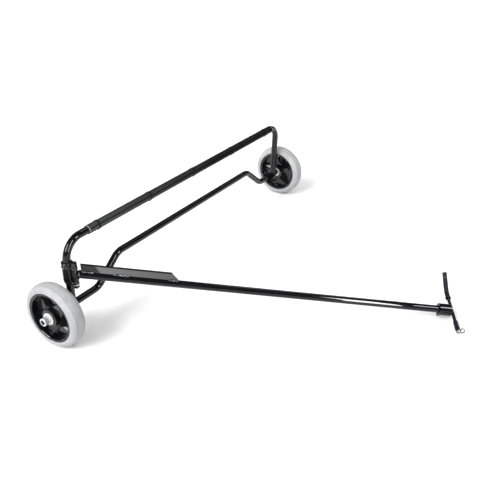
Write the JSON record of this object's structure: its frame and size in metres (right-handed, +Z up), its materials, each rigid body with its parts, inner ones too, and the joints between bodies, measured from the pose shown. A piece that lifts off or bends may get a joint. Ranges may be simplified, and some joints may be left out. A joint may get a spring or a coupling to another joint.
{
  "type": "two-wheeled transport trolley",
  "caption": "Low two-wheeled trolley: a bent tube frame stands across two spoked wheels, and a long drawbar with a cross handle folds against it.",
  "frame": {"origin": "on the floor, under the middle of the whole trolley's box with the drawbar as it rests", "axes": "+X along the axle from the hinge side's wheel to the other, +Y from the drawbar's handle towards the axle, +Z up"},
  "size_m": [1.3686, 1.0803, 0.3154],
  "materials": {
    "black_powder_coat": "gloss powder coat",
    "black_steel": "black oxide, satin",
    "grey_tyre": "satin solid tyre",
    "black_wheel_plastic": "gloss moulded",
    "bearing_steel": "ground",
    "zinc_steel": "bright zinc plate",
    "sleeve_plastic": "matt",
    "tie_nylon": "satin",
    "grip_rubber": "satin",
    "thrust_nylon": "satin"
  },
  "bodies": {
    "frame": {"axle_bar": "black_powder_coat", "upper_frame_tube": "black_powder_coat", "bar_sleeve": "sleeve_plastic", "cable_tie_1": "tie_nylon", "cable_tie_2": "tie_nylon", "cable_tie_3": "tie_nylon", "cable_tie_4": "tie_nylon", "cable_tie_5": "tie_nylon", "near_bearing_spacer": "zinc_steel", "near_flanged_bush": "zinc_steel", "near_inner_bush": "zinc_steel", "near_axle_screw": "zinc_steel", "near_axle_plug": "zinc_steel", "far_bearing_spacer": "zinc_steel", "far_flanged_bush": "zinc_steel", "far_inner_bush": "zinc_steel", "far_axle_screw": "zinc_steel", "far_axle_plug": "zinc_steel", "hinge_sleeve": "black_powder_coat", "lower_hinge_ear": "black_powder_coat", "upper_hinge_ear": "black_powder_coat", "leg_collar": "black_powder_coat", "collar_screw": "black_steel", "hinge_pin": "black_steel", "hinge_washer": "zinc_steel", "hinge_nut": "black_steel", "lower_thrust_washer": "thrust_nylon", "upper_thrust_washer": "thrust_nylon"},
    "near_wheel": {"near_tyre": "grey_tyre", "near_rim": "black_wheel_plastic", "near_outer_bearing": "bearing_steel", "near_inner_bearing": "bearing_steel"},
    "far_wheel": {"far_tyre": "grey_tyre", "far_rim": "black_wheel_plastic", "far_outer_bearing": "bearing_steel", "far_inner_bearing": "bearing_steel"},
    "drawbar": {"hinge_barrel": "black_powder_coat", "drawbar_tube": "black_powder_coat", "fin_plate": "black_powder_coat", "fin_weld_1": "black_powder_coat", "fin_weld_2": "black_powder_coat", "fin_weld_3": "black_powder_coat", "handle_hub": "black_powder_coat", "hub_screw": "black_steel", "hub_stud": "black_steel", "crossbar": "black_powder_coat", "upper_grip": "grip_rubber", "lower_grip": "grip_rubber", "grip_flange": "grip_rubber", "end_eye": "zinc_steel"},
    "ring": {"pull_ring": "zinc_steel"}
  },
  "joints": [
    {"name": "near_wheel_spin", "type": "hinge", "parent": "frame", "child": "near_wheel", "pos_m": [-0.635, 0.4401, 0.1], "axis": [1, 0, 0], "continuous": true},
    {"name": "far_wheel_spin", "type": "hinge", "parent": "frame", "child": "far_wheel", "pos_m": [0.635, 0.4401, 0.1], "axis": [1, 0, 0], "continuous": true},
    {"name": "drawbar_fold", "type": "hinge", "parent": "frame", "child": "drawbar", "pos_m": [-0.568, 0.4131, 0.208], "axis": [0, 0, 1], "range_deg": [-36, 48]},
    {"name": "ring_swing", "type": "hinge", "parent": "drawbar", "child": "ring", "pos_m": [0.02962, -0.53038, 0.00527], "axis": [0.521, 0.1964, 0.8306], "range_deg": [-40, 40]}
  ]
}
